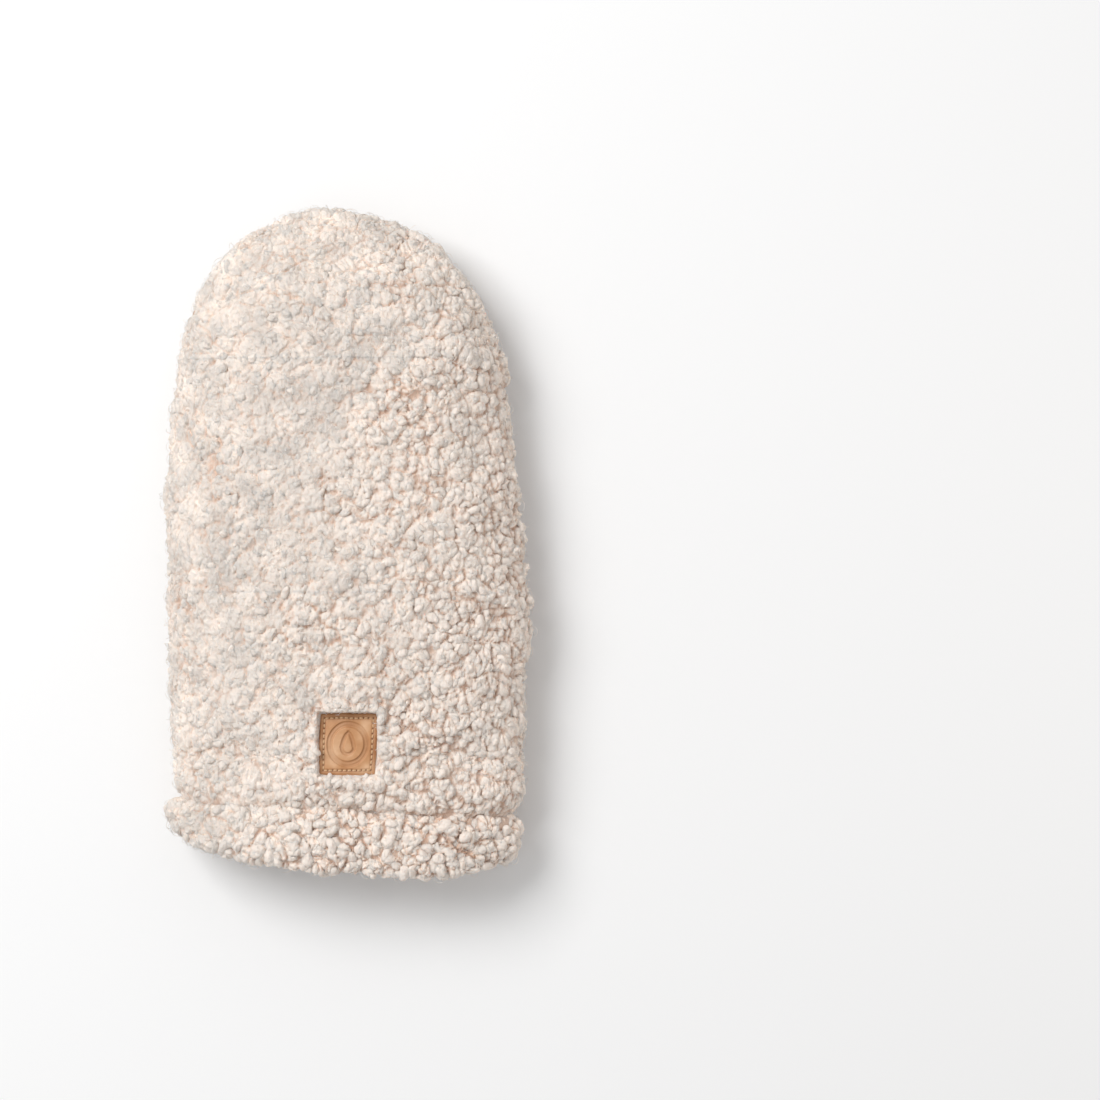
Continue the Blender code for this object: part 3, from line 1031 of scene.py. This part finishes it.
def make_stitches():
    """The row of separate stitches round the patch."""
    form = bmesh.new()
    for middle, angle, pitch in stitch_places():
        before = set(form.verts)
        bmesh.ops.create_uvsphere(form, u_segments=8, v_segments=8, radius=1)
        new = [v for v in form.verts if v not in before]
        turn = Matrix.Rotation(angle + dice.uniform(-0.08, 0.08), 3, "Z")
        x, y = patch_outline(middle.x, middle.y)
        height, _ = patch_surface(middle.x, middle.y)
        base = Vector((PATCH_CENTRE.x + x, PATCH_CENTRE.y + y, patch_high.z + height + 0.12 * MM))
        for vertex in new:
            ball = vertex.co.copy()
            along = ball.z * pitch * 0.40
            dip = -0.22 * MM * ball.z**2
            local = Vector((along, ball.x * STITCH_WIDTH / 2, ball.y * STITCH_WIDTH / 2 + dip))
            vertex.co = base + turn @ local
    bmesh.ops.recalc_face_normals(form, faces=form.faces)
    piece = to_object(form, "patch_stitches", PATCH_THREAD)
    return finish_piece(piece, "gold_thread", "patch_thread")


make_patch()
make_stitches()


# ---------------------------------------------------------------- lining and hidden pieces


def make_lining():
    """The brushed lining of the hand pocket, in a front and a back half."""
    tree = tree_of("front_lining", "back_lining")
    skin = body_skin("lining_skin", 72, 40, tree, 0.0, False)
    co = coordinates(skin.data)
    ripple = np.array([noise.noise(Vector(p) * 38) for p in co.tolist()])
    fine = np.array([noise.noise(Vector((p[0] * 150, p[1] * 30, p[2] * 150))) for p in co.tolist()])
    towards = np.array([0, 0, SEAM_Z]) - co
    towards[:, 1] = 0
    towards /= np.maximum(np.linalg.norm(towards, axis=1, keepdims=True), 1e-6)
    inward = 0.6 * MM * np.abs(ripple) + 0.35 * MM * fine
    # Its edge turns out to where it is sewn to the cuff.
    inward -= LINING_FLARE * smooth_steps((BODY_END_Y + 8 * MM - co[:, 1]) / (8 * MM))
    co += towards * inward[:, None]
    set_coordinates(skin.data, as_it_lies(co))
    for front, name in ((True, "front_lining"), (False, "back_lining")):
        half = half_of(skin, name + "_cloth", front, 0.0)
        half.data.materials.clear()
        half.data.materials.append(LINING)
        thicken(half, 1.2 * MM, -1.0)
        finish_piece(half, "brushed_lining", name)
    bpy.data.objects.remove(skin)


make_lining()


def make_hidden(node, name, finish, slot):
    """A hidden layer as it lies inside the mitt, made fine enough to bend with it."""
    form = bmesh.new()
    form.from_mesh(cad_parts[node].data)
    bmesh.ops.remove_doubles(form, verts=form.verts, dist=1e-6)
    bmesh.ops.subdivide_edges(form, edges=form.edges, cuts=1, use_grid_fill=True)
    piece = to_object(form, name, finish)
    piece.data.materials.clear()
    piece.data.materials.append(finish)
    piece.data.set_sharp_from_angle(angle=math.radians(40))
    set_coordinates(piece.data, as_it_lies(coordinates(piece.data)))
    finish_piece(piece, slot, node)


make_hidden("front_wadding", "front_wadding_pad", WADDING, "wadding")
make_hidden("back_wadding", "back_wadding_pad", WADDING, "wadding")
make_hidden("shell_seam", "shell_overlock", SEWING_THREAD, "sewing_thread")
make_hidden("lining_seam", "lining_overlock", SEWING_THREAD, "sewing_thread")


# ---------------------------------------------------------------- floor, lights, camera


def make_floor():
    """A plain white sheet under the mitt."""
    form = bmesh.new()
    bmesh.ops.create_grid(form, x_segments=2, y_segments=2, size=3.0)
    made, shader, _, _ = new_material("floor_white")
    shader.inputs["Base Color"].default_value = (0.93, 0.93, 0.93, 1)
    shader.inputs["Roughness"].default_value = 0.9
    shader.inputs["Specular IOR Level"].default_value = 0.1
    floor = to_object(form, "floor", made)
    floor.location.z = -0.0002


def add_light(name, place, aim, size, power, colour):
    """A square soft light that points at a place."""
    data = bpy.data.lights.new(name, "AREA")
    data.color = colour
    data.shape = "SQUARE"
    data.size = size
    data.energy = power
    light = bpy.data.objects.new(name, data)
    light.location = place
    light.rotation_mode = "QUATERNION"
    light.rotation_quaternion = (Vector(place) - Vector(aim)).to_track_quat("Z", "Y")
    bpy.context.scene.collection.objects.link(light)


def make_world(strength):
    """Even white light from all round."""
    world = bpy.data.worlds.new("soft_white")
    world.use_nodes = True
    world.node_tree.nodes["Background"].inputs["Color"].default_value = (1, 1, 1, 1)
    world.node_tree.nodes["Background"].inputs["Strength"].default_value = strength
    bpy.context.scene.world = world


def make_camera():
    """Straight above, with the mitt left of the middle as one of a pair would lie."""
    data = bpy.data.cameras.new("camera")
    data.lens = 111.6
    data.sensor_width = 36.0
    camera = bpy.data.objects.new("camera", data)
    camera.location = (0.0893, -0.0030, 1.525)
    bpy.context.scene.collection.objects.link(camera)
    bpy.context.scene.camera = camera


make_floor()
make_world(0.54)
add_light("key", (-0.98, 0.80, 1.52), (0, 0, 0), 1.1, 28.0, (1, 1, 1))
add_light("warm_bounce", (0.75, -0.05, 0.08), (0.08, 0, 0.03), 0.16, 0.42, (1, 0.84, 0.72))
make_camera()
bpy.context.scene.view_settings.view_transform = "Standard"
